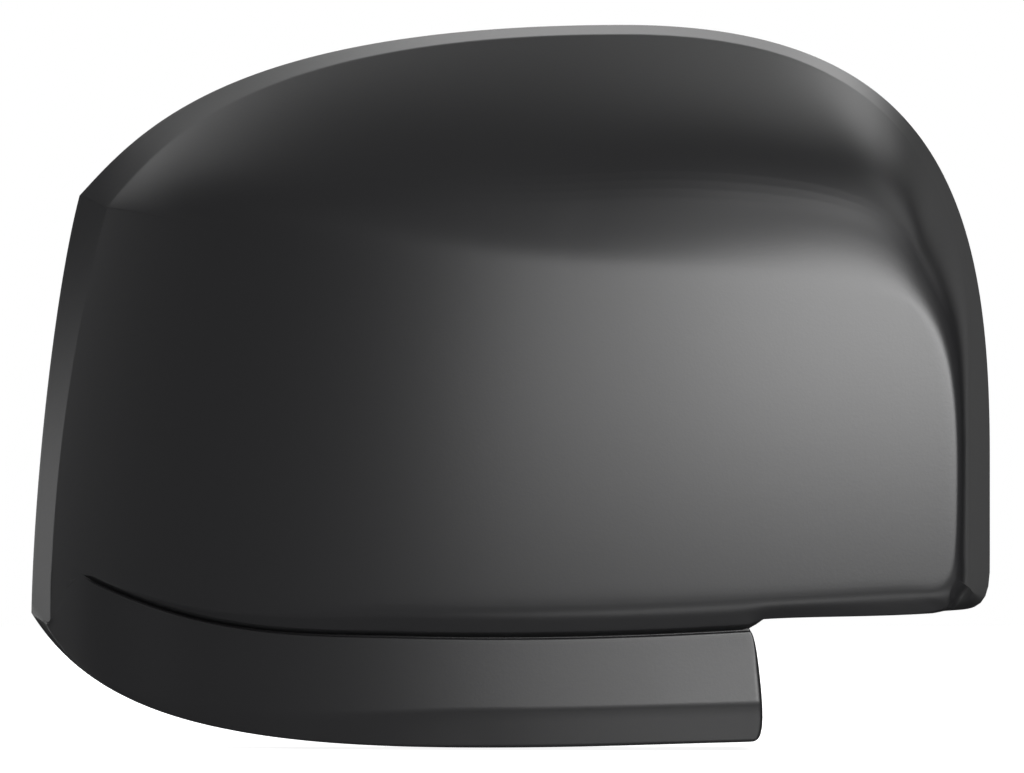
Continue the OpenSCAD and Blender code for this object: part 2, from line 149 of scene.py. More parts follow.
# Rim outline, seen from the front: outer side, top, inner side and bottom
LOW_CORNER = flat(-OUTER_END_X, -56.5)
HIGH_CORNER = flat(-OUTER_END_X + 12, 47.8)
APEX = flat(28, TOP_Z)
INNER_SIDE = flat(INNER_END_X, -17)
SIDE = (LOW_CORNER, LOW_CORNER + flat(0.4, 27), HIGH_CORNER - flat(6.8, 26.1), HIGH_CORNER)
RISE = (HIGH_CORNER, HIGH_CORNER + flat(15.2, 16.7), APEX - flat(98.3, 0), APEX)
FALL = (APEX, APEX + flat(80.1, 0), INNER_SIDE + flat(0, 61.9), INNER_SIDE)
CORNER = (
    INNER_SIDE - flat(0, 28),
    INNER_SIDE - flat(0, 38.5),
    flat(INNER_END_X - 3.5, -55.6),
    flat(INNER_END_X - 9.5, -56),
)
BELLY = (LOW_CORNER, LOW_CORNER + flat(17, -27.5), flat(-68, -STRIP_LOW_Z), flat(-10, -STRIP_LOW_Z))
KEEL = (
    flat(-10, -STRIP_LOW_Z),
    flat(15, -STRIP_LOW_Z),
    flat(35, 0.9 - STRIP_LOW_Z),
    flat(NOTCH_X, 1.6 - STRIP_LOW_Z),
)
# Where the fall of the outline passes the upper inner corner
FALL_SHARE = 0.56

# Waist: the groove's centre line, and past the notch the bottom edge
WAIST_START = flat(-108.4, -46.2)
WAIST_MID = flat(-28, -61.3)
WAIST = (WAIST_START, flat(-76.6, -62.1), flat(-52, -60.8), WAIST_MID)
WAIST_END = (WAIST_MID, flat(30, -62.6), flat(70, -58.5), flat(110, -56))

# Crease over the front face and the round corners that it runs into
FACE_END_X = 109.5
CREASE_END = flat(49, 30)
ROUND_END = flat(FACE_END_X, -23)
CREASE = (flat(-101.1, 44.7), flat(-42.6, 34.2), flat(1.1, 32.9), CREASE_END)
ROUND = (CREASE_END, flat(98, 26.5), flat(FACE_END_X, 28), ROUND_END)
LOWER_ROUND = (ROUND_END, flat(FACE_END_X, -43), flat(109, -50.2), flat(101, -51.3))
CREASE_START = 0.032
CREASE_SHARE = 0.74
ROUND_SHARE = 0.5

BAND_FOOT_Z = -62.0
BAND_LEAN = 14.3
FULL_Z = -32.0
STRIP_LEAN = 0.05
HANDLE = 0.62
CROWN_PULL = 0.84
CROWN_TURN = 77.0
TOP_SHARE = 0.6
CORNER_BAND_W = 3.4
CORNER_BAND_D = 16.0
DRAFT = math.radians(5)
WALL_END_D = DEPTH - 9
CORNER_SHARE = 0.62
SIDE_SHARE = 0.6
TURN_SHARE = 0.22
SILL_H = 1.1
SILL_START = 4.0
SILL_REACH = 40.0
FOLD_W = 5.6
FOOT_SHARE = 0.12
BEND_SHARE = 0.4
GROOVE_FROM = 0.0093
GROOVE_REACH = 0.02
GROOVE_FLOOR = 0.3
RIDGE_H = 2.2
BELLY_SHARE = 0.62
EDGE_W = 0.75
BULGE_REACH = 24.0


def band_x(z):
    """Front view position of the band's inner edge on the outer end."""
    return -OUTER_END_X + BAND_SIDE_W - 1 + BAND_LEAN * (max(0, z - BAND_FOOT_Z) / 107) ** 2


@lru_cache(maxsize=None)
def waist_z(x):
    """Height of the waist below a place on the front face."""
    if x < WAIST_START.x:
        return WAIST_START.y
    curve = WAIST if x < WAIST_MID.x else WAIST_END
    low, high = 0.0, 1.0
    for _ in range(26):
        middle = (low + high) / 2
        if bezier(curve, middle).x < x:
            low = middle
        else:
            high = middle
    return bezier(curve, low).y


def swell(x, z):
    edge = band_x(z)
    return 1 - max(0, 1 - max(0, x - edge) / (FACE_END_X - edge)) ** SWEEP


def fall(z):
    return CROWN * ((z - FULL_Z) / (CREASE_END.y + 3 - FULL_Z)) ** 2


def face_d(x, z):
    """Depth of the front face at a place seen from the front."""
    return BAND_DEPTH + (DEPTH - BAND_DEPTH - fall(z)) * swell(x, z)


def strip_fade(x):
    return ease((x - WAIST_START.x) / 30)


def strip_d(x, z):
    """Depth of the lower strip, which leans out a little towards its bottom."""
    waist = waist_z(x)
    full = DEPTH - BAND_DEPTH - fall(waist) + STRIP_LEAN * max(0, waist - z)
    return BAND_DEPTH + full * swell(x, z) - STRIP_RECESS * strip_fade(x)


def point(place, depth):
    return Vector((place.x, -depth, place.y))


def on_face(place):
    return point(place, face_d(place.x, place.y))


def crease_at(t):
    if t < CREASE_SHARE:
        return bezier(CREASE, mix(CREASE_START, 1, (t / CREASE_SHARE) ** 1.3))
    return bezier(ROUND, ROUND_SHARE * (t - CREASE_SHARE) / (1 - CREASE_SHARE))


def inner_edge_at(t):
    if t < SIDE_SHARE:
        return bezier(ROUND, mix(ROUND_SHARE, 1, t / SIDE_SHARE))
    return bezier(LOWER_ROUND, CORNER_SHARE * (t - SIDE_SHARE) / (1 - SIDE_SHARE))


def bevel_rise(x):
    return GROOVE_H / 2 + mix(0.7, BEVEL_H, ease((x + 100) / 75))


def lower_edge_at(x):
    return flat(x, waist_z(x) + bevel_rise(x))


def outer_edge_at(t):
    z = mix(WAIST_START.y + bevel_rise(WAIST_START.x), crease_at(0).y, t)
    share = (band_x(z) - band_x(-45)) / (band_x(43) - band_x(-45))
    return flat(mix(WAIST_START.x, crease_at(0).x, share), z)


def cross_at(p, a, q, b):
    """Where the line from p at angle a meets the line from q at angle b."""
    det = math.cos(a) * math.sin(b) - math.sin(a) * math.cos(b)
    if abs(det) < 0.02:
        return (p + q) / 2
    v = q - p
    reach = (v.x * math.sin(b) - v.y * math.cos(b)) / det
    return p + flat(math.cos(a), math.sin(a)) * reach


def row_share(rows, k, gathered):
    """Share of the dome's curve for a row, even or gathered at its foot as on the strip."""
    if k <= rows.groove_out:
        low = FOOT_SHARE * (k - rows.band) / (rows.groove_out - rows.band)
    else:
        low = mix(BEND_SHARE, 1, (k - rows.lip) / (rows.ring - rows.lip))
    return mix((k - rows.band) / (rows.ring - rows.band), low, gathered)


def dome_section(rows, rim, edge, edge_d, ring, rim_turn, ring_turn, share, gathered=0.0, pull=HANDLE):
    """From the rim over the band, then in one curve over the dome to the ring."""
    span = (ring - edge).length
    way = (ring - edge) / span
    p = flat(0, edge_d)
    q = flat(span, face_d(ring.x, ring.y))
    chord = math.atan2(q.y - p.y, span)
    corner = cross_at(
        p, mix(chord, math.radians(rim_turn), share), q, mix(chord, math.radians(ring_turn), share)
    )
    curve = (p, mix(p, corner, pull), mix(q, corner, pull), q)
    line = [point(mix(rim, edge, k / rows.band), edge_d * k / rows.band) for k in range(rows.band)]
    for k in range(rows.band, rows.ring + 1):
        c = bezier(curve, row_share(rows, k, gathered))
        line.append(point(edge + way * c.x, c.y))
    return line


def side_section(rows, t):
    """Outer end: flat band, then the edge of the front face."""
    rim = bezier(SIDE, t)
    ring = outer_edge_at(t)
    corner = bottom_band_at(0)
    free = flat(mix(corner.x, band_x(rim.y), ease(t / 0.15)), mix(corner.y, rim.y, ease(t / 0.1)))
    edge = mix(free, bezier(CREASE, 0), ease((t - 0.8) / 0.2))
    line = [point(mix(rim, edge, k / rows.band), BAND_DEPTH * k / rows.band) for k in range(rows.band)]
    for k in range(rows.band, rows.ring + 1):
        line.append(on_face(mix(edge, ring, (k - rows.band) / (rows.ring - rows.band))))
    return line


def top_rim(t):
    if t < TOP_SHARE:
        return bezier(RISE, t / TOP_SHARE)
    return bezier(FALL, FALL_SHARE * (t - TOP_SHARE) / (1 - TOP_SHARE))


def inward_of(rim, t):
    return -left_of(rim(min(1, t + 0.01)) - rim(max(0, t - 0.01))).normalized()


def top_section(rows, t):
    """Top, from the high corner over the apex to the round upper corner."""
    rim = top_rim(t)
    inward = inward_of(top_rim, t)
    cornering = ease((t - 0.72) / 0.28)
    edge_d = BAND_DEPTH + 2 * ease(t / 0.3) + (CORNER_BAND_D - 2) * cornering
    width = mix(mix(BAND_CORNER_W, BAND_TOP_W, ease(t / 0.58)), CORNER_BAND_W, cornering)
    free = rim + inward * width
    edge = mix(bezier(CREASE, 0), free, ease(t / 0.16))
    rim_turn = mix(62, CROWN_TURN, ease((t - 0.52) / 0.45))
    ring_turn = mix(20, 9, ease((t - 0.5) / 0.4))
    pull = mix(HANDLE, CROWN_PULL, ease((t - 0.3) / 0.45))
    return dome_section(
        rows, rim, edge, edge_d, crease_at(t), rim_turn, ring_turn, ease(t / 0.15), pull=pull
    )


def inner_rim(t):
    if t < 0.7:
        return bezier(FALL, mix(FALL_SHARE, 1, t / 0.7))
    if t < 0.88:
        return INNER_SIDE - (INNER_SIDE - CORNER[0]) * (t - 0.7) / 0.18
    return bezier(CORNER, CORNER_SHARE * (t - 0.88) / 0.12)


def inner_section(rows, t):
    """Inner side, from the round upper corner down to the lower inner corner."""
    rim = inner_rim(t)
    edge_d = mix(BAND_DEPTH + CORNER_BAND_D, WALL_END_D, ease(t / 0.7))
    width = mix(CORNER_BAND_W, edge_d * math.tan(DRAFT), ease(t / 0.6))
    edge = rim + inward_of(inner_rim, t) * mix(width, FOLD_W, clamp((t - 0.93) / 0.07))
    rim_turn = mix(CROWN_TURN, 90 - math.degrees(DRAFT), ease(t / 0.6))
    pull = mix(CROWN_PULL, HANDLE, ease(t / 0.5))
    ring_turn = mix(9, 3, ease(t / 0.5))
    return dome_section(rows, rim, edge, edge_d, inner_edge_at(t), rim_turn, ring_turn, 1, pull=pull)


def groove_back_d(x):
    return strip_d(x, waist_z(x) - GROOVE_H / 2) - GROOVE_D


def lip_d(x):
    ring = lower_edge_at(x)
    faded = strip_fade(x) * mix(0.35, 1, ease((x + 100) / 75))
    return face_d(ring.x, ring.y) - (STRIP_RECESS - 0.3) * faded


def sill_rise(x):
    """Past the notch the bottom edge starts on the lip's height and comes down to the waist."""
    past = x - NOTCH_X
    return SILL_H * ease(past / SILL_START) * (1 - ease((past - SILL_START) / SILL_REACH))


def bottom_rim(s):
    if s < TURN_SHARE:
        return bezier(CORNER, mix(CORNER_SHARE, 1, s / TURN_SHARE))
    x = mix(CORNER[3].x, NOTCH_X, (s - TURN_SHARE) / (1 - TURN_SHARE))
    return flat(x, waist_z(x) + sill_rise(x))


def bottom_ring(s):
    if s < TURN_SHARE:
        return bezier(LOWER_ROUND, mix(CORNER_SHARE, 1, s / TURN_SHARE))
    return lower_edge_at(mix(LOWER_ROUND[3].x, NOTCH_X, (s - TURN_SHARE) / (1 - TURN_SHARE)))


def bottom_section(rows, s):
    """Bottom edge past the notch: the wall from the rim, then the bevel up to the ring."""
    rim = bottom_rim(s)
    ring = bottom_ring(s)
    turned = ease((s - 0.04) / 0.36)
    lip = rim + (ring - rim).normalized() * mix(FOLD_W, GROOVE_H / 2, clamp(s / 0.3))
    back = groove_back_d(lip.x)
    low = back + GROOVE_D - STRIP_BEVEL_D
    round_line = dome_section(
        rows, rim, lip, WALL_END_D, ring, 90 - math.degrees(DRAFT), 3, 1, ease(s / 0.24)
    )
    line = []
    for k in range(rows.ring + 1):
        if k <= rows.band:
            square = point(mix(rim, lip, 0.9 * k / rows.band), low * k / rows.band)
        elif k <= rows.groove_out:
            u = (k - rows.band) / (rows.groove_out - rows.band)
            # The last of these rows meets the groove's slanted floor at the notch
            near = ease(1 - (rim.x - NOTCH_X) / SILL_START) if k == rows.groove_out else 0
            dip = flat(0, GROOVE_H * (1 - GROOVE_FLOOR) * near)
            square = point(mix(rim, lip, mix(0.9, 1, u)) - dip, mix(low, back, u))
        else:
            v = (k - rows.lip) / (rows.ring - rows.lip)
            square = point(mix(lip, ring, v), mix(lip_d(lip.x), face_d(ring.x, ring.y), v))
        line.append(mix(round_line[k], square, turned))
    return line


def belly_at(t):
    if t < BELLY_SHARE:
        return bezier(BELLY, t / BELLY_SHARE)
    return bezier(KEEL, (t - BELLY_SHARE) / (1 - BELLY_SHARE))


def strip_x(t):
    return mix(WAIST_START.x, NOTCH_X, 0.8 * t if t < 0.3 else mix(0.24, 1, (t - 0.3) / 0.7))


def bottom_band_at(t):
    rim = belly_at(t)
    x = strip_x(t)
    free = rim + (flat(x, waist_z(x)) - rim).normalized() * EDGE_W
    start = flat(band_x(LOW_CORNER.y - 3), LOW_CORNER.y - 3)
    return mix(free, start, (1 - clamp(t / 0.12)) ** 2)


def strip_section(rows, t, plain):
    """Lower strip and groove. A plain section leaves the groove out, for the inner face."""
    rim = belly_at(t)
    x = strip_x(t)
    waist = flat(x, waist_z(x))
    grown = ease((t - GROOVE_FROM) / GROOVE_REACH)
    gap = GROOVE_H / 2 * grown
    edge = bottom_band_at(t)
    bevel_share = ease((t - 0.1) / 0.55)
    bevel = edge + (waist - edge).normalized() * mix(1, STRIP_BEVEL_H, bevel_share)
    top = waist - flat(0, gap)
    lip = waist + flat(0, gap)
    ring = lower_edge_at(x)
    bevel_d = strip_d(bevel.x, bevel.y)
    edge_d = mix(BAND_DEPTH, bevel_d - mix(0.8, STRIP_BEVEL_D, bevel_share), grown)
    back = groove_back_d(x) + GROOVE_D * (1 - grown)
    line = []
    for k in range(rows.ring + 1):
        if k < rows.band:
            line.append(point(mix(rim, edge, k / rows.band), edge_d * k / rows.band))
        elif k < rows.bevel:
            s = (k - rows.band) / (rows.bevel - rows.band)
            line.append(point(mix(edge, bevel, s), mix(edge_d, bevel_d, s)))
        elif k < rows.top or (k == rows.top and not plain):
            f = mix(bevel, top, (k - rows.bevel) / (rows.top - rows.bevel))
            line.append(point(f, strip_d(f.x, f.y)))
        elif k <= rows.lip and plain:
            rise = mix(-RIDGE_H, gap, (k - rows.top) / (rows.lip - rows.top)) * grown
            line.append(point(waist + flat(0, rise), back))
        elif k == rows.groove_in:
            line.append(point(top, back))
        elif k == rows.groove_out:
            line.append(point(mix(top, lip, GROOVE_FLOOR), back))
        else:
            s = (k - rows.lip) / (rows.ring - rows.lip)
            line.append(point(mix(lip, ring, s), mix(lip_d(x), face_d(ring.x, ring.y), s)))
    return line


def face_normal(place):
    """Outward normal of the front face at a place seen from the front."""
    e = 0.2
    gx = (face_d(place.x + e, place.y) - face_d(place.x - e, place.y)) / (2 * e)
    gz = (face_d(place.x, place.y + e) - face_d(place.x, place.y - e)) / (2 * e)
    return Vector((-gx, -1, -gz)).normalized()


def front_of(p):
    return flat(p.x, p.z)


def stepped(rows, limit, drop):
    """The strip's end section with what stands in front of the groove's bottom set back."""
    return [Vector((r.x, -limit, r.z - drop)) if -r.y > limit else r.copy() for r in rows]


def inner_columns():
    """Coarse columns of the inner face, clockwise from the low corner, set in by the wall."""
    rows = INNER_ROWS
    columns = [side_section(rows, j / NZ) for j in range(NZ)]
    columns += [top_section(rows, i / NX) for i in range(NX)]
    columns += [inner_section(rows, j / NZ) for j in range(NZ)]
    columns += [bottom_section(rows, i / NM) for i in range(NM + 1)]
    past = len(columns) - 1
    bottom = past - NM
    columns += [strip_section(rows, i / NS, True) for i in range(NS, 0, -1)]
    count = len(columns)
    end = past + 1
    inner = []
    for st, column in enumerate(columns):
        before = columns[st if st == end else st - 1]
        after = columns[st if st == past else (st + 1) % count]
        line = []
        for k in INNER_KEPT:
            p = column[k]
            along = after[k] - before[k]
            across = column[min(rows.ring, k + 1)] - column[max(0, k - 1)]
            n = across.cross(along).normalized()
            if k == 0:
                level = n.x * n.x + n.z * n.z
                q = Vector((p.x - WALL * n.x / level, 0, p.z - WALL * n.z / level))
            elif k == rows.ring:
                q = p - WALL * face_normal(front_of(p))
            elif bottom < st <= past and k <= rows.top:
                q = p - WALL * n + Vector((0, WALL, 0))
            else:
                q = p - WALL * n
            if st in (past, end) and k != rows.ring:
                q.x = NOTCH_X - WALL
            line.append(q)
        inner.append(line)
    return inner, columns, past


def between(columns, s, low, high):
    """A column at station s, on smooth curves through the coarse columns from low to high."""
    i = min(int(s), high - 1)
    t = s - i
    if t < 1e-9:
        return [p.copy() for p in columns[i]]
    line = []
    for k in range(len(columns[i])):
        p1 = columns[i][k]
        p2 = columns[i + 1][k]
        p0 = columns[i - 1][k] if i > low else 2 * p1 - p2
        p3 = columns[i + 2][k] if i + 2 <= high else 2 * p2 - p1
        line.append(
            0.5 * (2 * p1 + (p2 - p0) * t + (2 * p0 - 5 * p1 + 4 * p2 - p3) * t * t
                   + (3 * p1 - p0 - 3 * p2 + p3) * t**3)
        )
    return line


def round_edge(before, corner, after, radius, reach=0.45):
    """Points of a round edge in place of a corner between two lines."""
    a = before - corner
    b = after - corner
    size = min(radius, reach * a.length, reach * b.length)
    if size < 1e-7:
        return [corner.copy() for _ in range(ROUND_STEPS + 1)]
    start = corner + a.normalized() * size
    stop = corner + b.normalized() * size
    points = []
    for i in range(ROUND_STEPS + 1):
        t = i / ROUND_STEPS
        points.append((1 - t) ** 2 * start + 2 * t * (1 - t) * corner + t * t * stop)
    return points


def rounded_line(line, radii):
    """A section with the corners at some rows rounded."""
    points = []
    for k, p in enumerate(line):
        if k in radii:
            points += round_edge(line[k - 1], p, line[k + 1], radii[k])
        else:
            points.append(p.copy())
    return points


def bulged(p, lift):
    """The strip's end bulges between the groove and the bottom edge, on both skins alike."""
    top = waist_z(NOTCH_X) - GROOVE_H / 2
    v = clamp((top - p.z) / (top - lift - belly_at(1).y))
    reach = ease((p.x + lift - NOTCH_X) / BULGE_REACH + 1)
    return p + Vector((END_BULGE * reach * v**0.45 * math.sqrt(1 - v**8), 0, 0))


def along(path, share):
    """A point at a share of the length of a path of points."""
    lengths = [(b - a).length for a, b in zip(path, path[1:])]
    left = share * sum(lengths)
    for a, b, length in zip(path, path[1:], lengths):
        if left <= length and length > 0:
            return mix(a, b, left / length)
        left -= length
    return path[-1].copy()


def shell_columns(radii, rim_radius):
    """All columns of the shell, each from the outer ring round the rim to the inner ring."""
    rows = OUTER_ROWS
    inner, _plain, past = inner_columns()
    end = past + 1
    inner.append([p.copy() for p in inner[0]])
    last = len(inner) - 1
    top, side, bottom = NZ, NZ + NX, 2 * NZ + NX
    outer_count = rows.ring + 1

    def column(outer, inside):
        line = [p for p in reversed(outer)] + inside
        corners = {outer_count - 1 - k: r for k, r in radii.items()}
        corners[outer_count - 1] = rim_radius
        corners[outer_count] = rim_radius
        return rounded_line(line, corners)

    columns = []
    for j in range(NZ * FINE):
        inside = between(inner, j / FINE, 0, top)
        columns.append(column(side_section(rows, j / (NZ * FINE)), inside))
    for i in range(NX * FINE):
        inside = between(inner, top + i / FINE, top, past)
        columns.append(column(top_section(rows, i / (NX * FINE)), inside))
    for j in range(NZ * FINE):
        inside = between(inner, side + j / FINE, top, past)
        columns.append(column(inner_section(rows, j / (NZ * FINE)), inside))
    for i in range(NM * FINE + 1):
        inside = between(inner, bottom + i / FINE, top, past)
        columns.append(column(bottom_section(rows, i / (NM * FINE)), inside))
    notch = len(columns) - 1
    strip = []
    for i in range(NS * FINE, 0, -1):
        inside = between(inner, end + NS - i / FINE, end, last)
        strip.append(column(strip_section(rows, i / (NS * FINE), False), inside))

    # The end wall shares the rows above the groove with the notch's column
    outer_rows = len(columns[notch]) - len(INNER_KEPT) - ROUND_STEPS
    shared = rows.ring - rows.lip + 2 * (ROUND_STEPS + 1)
    strip[0] = [p.copy() for p in columns[notch][:shared]] + strip[0][shared:]
    outer_step = stepped(strip[0][:outer_rows], groove_back_d(NOTCH_X), 0.3)
    inner_step = stepped(strip[0][outer_rows:], -inner[end][5].y, 0)
    step = outer_step + inner_step
    wall = []
    for c in range(1, END_COLUMNS + 1):
        share = c / (END_COLUMNS + 1)
        wall.append([
            a.copy() if r < shared else along((a, b, e), share)
            for r, (a, b, e) in enumerate(zip(columns[notch], step, strip[0]))
        ])
    return columns, wall, strip, outer_rows


def round_columns(before, corner, after, radius):
    """Columns of a round upright edge in place of a corner column."""
    lines = [round_edge(a, c, b, radius, 0.7) for a, c, b in zip(before, corner, after)]
    return [[line[i] for line in lines] for i in range(ROUND_STEPS + 1)]


def place_grid(bm, columns, soft_layer, softness):
    """A grid of faces with one column of vertices for each column of points."""
    across = len(columns) - 1
    down = len(columns[0]) - 1
    made = bmesh.ops.create_grid(bm, x_segments=across, y_segments=down, size=1.0)
    for index, vert in enumerate(made["verts"]):
        row, column = divmod(index, across + 1)
        vert.co = columns[column][row] * MM
        vert[soft_layer] = softness(column, row)


def shell_mesh(bm, edge_radius, end_radius, soft_passes):
    """Outer skin, rim and inner skin as one closed wall."""
    rows = OUTER_ROWS
    radii = {
        rows.band: edge_radius,
        rows.top: 0.5,
        rows.groove_in: 0.5,
        rows.groove_out: 0.5,
        rows.lip: 0.6,
    }
    columns, wall, strip, outer_rows = shell_columns(radii, 0.4)
    notch = len(columns) - 1
    past_round = round_columns(columns[notch - 1], columns[notch], wall[0], 1.5)
    end_round = round_columns(wall[-1], strip[0], strip[1], end_radius)
    ring = columns[:notch] + [columns[notch]] + strip[1:]
    wrap = columns[:notch] + past_round + wall + end_round + strip[1:]
    wrap.append(columns[0])
    count = len(ring)
    soft = bm.verts.layers.int.new("soft")

    nx = NX * FINE
    nz = NZ * FINE

    # The two skins bulge at the strip's end
    moved = [
        [bulged(p, 0 if r < outer_rows else WALL) for r, p in enumerate(line)]
        for line in wrap
    ]

    def passes_at(share):
        """The crease is crisp at the outer end and melts into the round corner."""
        return round(mix(1, soft_passes, ease((share - 0.1) / 0.6)))

    def wrap_share(column):
        """How far along the front face a column of the wrap lies."""
        if column < nz:
            return 0
        if column < nz + nx:
            return (column - nz) / nx
        if column < 2 * nz + nx:
            return 1
        return max(0, 1 - (column - 2 * nz - nx) / (len(moved) - 2 * nz - nx))

    place_grid(bm, moved, soft, lambda column, row: passes_at(wrap_share(column)) if row < 5 else 0)

    # Front face between its four sides, on each skin
    def station(i, j):
        if i == 0:
            return j
        if j == nz:
            return nz + i
        if i == nx:
            return 2 * nz + nx - j
        return (2 * nz + 2 * nx - i) % count

    def front(i, j, skin_row):
        """Place of a vertex on the border of the front face, seen from the front."""
        return front_of(ring[station(i, j)][skin_row])

    for skin_row, lift in ((0, 0), (-1, WALL)):
        face = []
        for i in range(nx + 1):
            line = []
            for j in range(nz + 1):
                if i in (0, nx) or j in (0, nz):
                    line.append(ring[station(i, j)][skin_row])
                    continue
                u = i / nx
                v = j / nz
                place = mix(front(i, 0, 0), front(i, nz, 0), v) + mix(front(0, j, 0), front(nx, j, 0), u)
                low = mix(front(0, 0, 0), front(nx, 0, 0), u)
                high = mix(front(0, nz, 0), front(nx, nz, 0), u)
                place -= mix(low, high, v)
                line.append(on_face(place) - lift * face_normal(place))
            face.append(line)
        near = 3
        place_grid(
            bm, face, soft,
            lambda i, j: passes_at(i / nx) if lift == 0 and (
                min(i, nx - i) < near or min(j, nz - j) < near) else 0,
        )
    bmesh.ops.remove_doubles(bm, verts=bm.verts, dist=0.002 * MM)
    bmesh.ops.recalc_face_normals(bm, faces=bm.faces)
    if bm.calc_volume(signed=True) < 0:
        bmesh.ops.reverse_faces(bm, faces=bm.faces)
    for turn in range(soft_passes):
        bmesh.ops.smooth_vert(
            bm,
            verts=[v for v in bm.verts if v[soft] > turn],
            factor=0.5,
            use_axis_x=True,
            use_axis_y=True,
            use_axis_z=True,
        )


def inner_d(x, z):
    """Depth of the inner face behind a place on the front face."""
    return face_d(x, z) + WALL / face_normal(flat(x, z)).y


def root_d(x, z):
    return inner_d(x, z) + WALL / 2


def bevel_all(bm, width, angle=math.radians(30)):
    """Rounds every edge of a small feature that turns more than the angle."""
    edges = [e for e in bm.edges if len(e.link_faces) == 2 and e.calc_face_angle() > angle]
    bmesh.ops.bevel(
        bm,
        geom=edges,
        offset=width * MM,
        offset_type="OFFSET",
        segments=2,
        profile=0.5,
        affect="EDGES",
        material=-1,
        clamp_overlap=True,
    )


def absorb(target, feature):
    """Adds one feature's mesh to the whole."""
    bmesh.ops.recalc_face_normals(feature, faces=feature.faces)
    if feature.calc_volume(signed=True) < 0:
        bmesh.ops.reverse_faces(feature, faces=feature.faces)
    part = bpy.data.meshes.new("feature")
    feature.to_mesh(part)
    feature.free()
    target.from_mesh(part)
    bpy.data.meshes.remove(part)


def plate(target, a, b, steps, height=0.0, level=0.0):
    """An upright plate on the inner face, from one place on it to another."""
    bm = bmesh.new()
    made = bmesh.ops.create_grid(bm, x_segments=steps, y_segments=1, size=1.0)
    side = left_of((b - a).normalized()) * RIB_T / 2
    for index, vert in enumerate(made["verts"]):
        row, column = divmod(index, steps + 1)
        m = mix(a, b, column / steps)
        back = level if level else inner_d(m.x, m.y) - height
        vert.co = point(m - side, back if row else root_d(m.x, m.y)) * MM
    raised = bmesh.ops.extrude_face_region(bm, geom=bm.faces[:])
    verts = [g for g in raised["geom"] if isinstance(g, bmesh.types.BMVert)]
    bmesh.ops.translate(bm, verts=verts, vec=Vector((side.x, 0, side.y)) * 2 * MM)
    bmesh.ops.recalc_face_normals(bm, faces=bm.faces)
    bevel_all(bm, 0.3)
    absorb(target, bm)


RIB_TOP_Z = 24.0
RIB_LOW_Z = -47.0
UPRIGHT_XS = (-36, 34, 96)
LEVEL_ZS = (13, -33)
LEVEL_ENDS = (-84, 100)
PIN_PLACES = ((0, 0), (70, -10), (-66, -10))
PIN_LEAD = 1.0
PIN_LEAD_W = 0.7
COLLAR_W = 2.0
COLLAR_H = 3.0
HOOK_ROOT_D = 16.0
HOOK_FOOT = 4.0
HOOK_GAP = 2.2
HOOK_EMBED = 1.2
# Snap hooks as (section of the coarse columns, columns past its start)
HOOKS = (("top", 16), ("top", 29), ("inner", 7), ("bottom", 5), ("strip", 7), ("strip", 15))


def ribs(target):
    for x in UPRIGHT_XS:
        plate(target, flat(x, RIB_LOW_Z), flat(x, RIB_TOP_Z), 20, height=RIB_H)
    for z in LEVEL_ZS:
        plate(target, flat(LEVEL_ENDS[0], z), flat(LEVEL_ENDS[1], z), 48, height=RIB_H)


def tower(target, x, z):
    """Crossed webs with a locating pin on top."""
    middle = flat(x, z)
    top = PIN_LEN - PIN_OUT
    for way in (flat(TOWER_W / 2, 0), flat(0, TOWER_W / 2)):
        plate(target, middle - way, middle + way, 2, level=top)
    # Collar and pin as one turned profile, from the collar's foot to the pin's tip
    lead_y = PIN_OUT - PIN_LEAD
    profile = (
        (0, -top - COLLAR_H),
        (PIN_R + COLLAR_W, -top - COLLAR_H),
        (PIN_R + COLLAR_W, -top - 0.3),
        (PIN_R + COLLAR_W - 0.3, -top),
        (PIN_R + 0.3, -top),
        (PIN_R, -top + 0.3),
        (PIN_R, lead_y),
        (PIN_R - PIN_LEAD_W, PIN_OUT),
        (0, PIN_OUT),
    )
    bm = bmesh.new()
    line = [bm.verts.new(Vector((x + r, y, z)) * MM) for r, y in profile]
    edges = [bm.edges.new(pair) for pair in zip(line, line[1:])]
    bmesh.ops.spin(
        bm,
        geom=line + edges,
        cent=Vector((x, 0, z)) * MM,
        axis=(0, 1, 0),
        angle=math.tau,
        steps=48,
        use_merge=True,
    )
    bmesh.ops.remove_doubles(bm, verts=bm.verts, dist=0.001 * MM)
    absorb(target, bm)


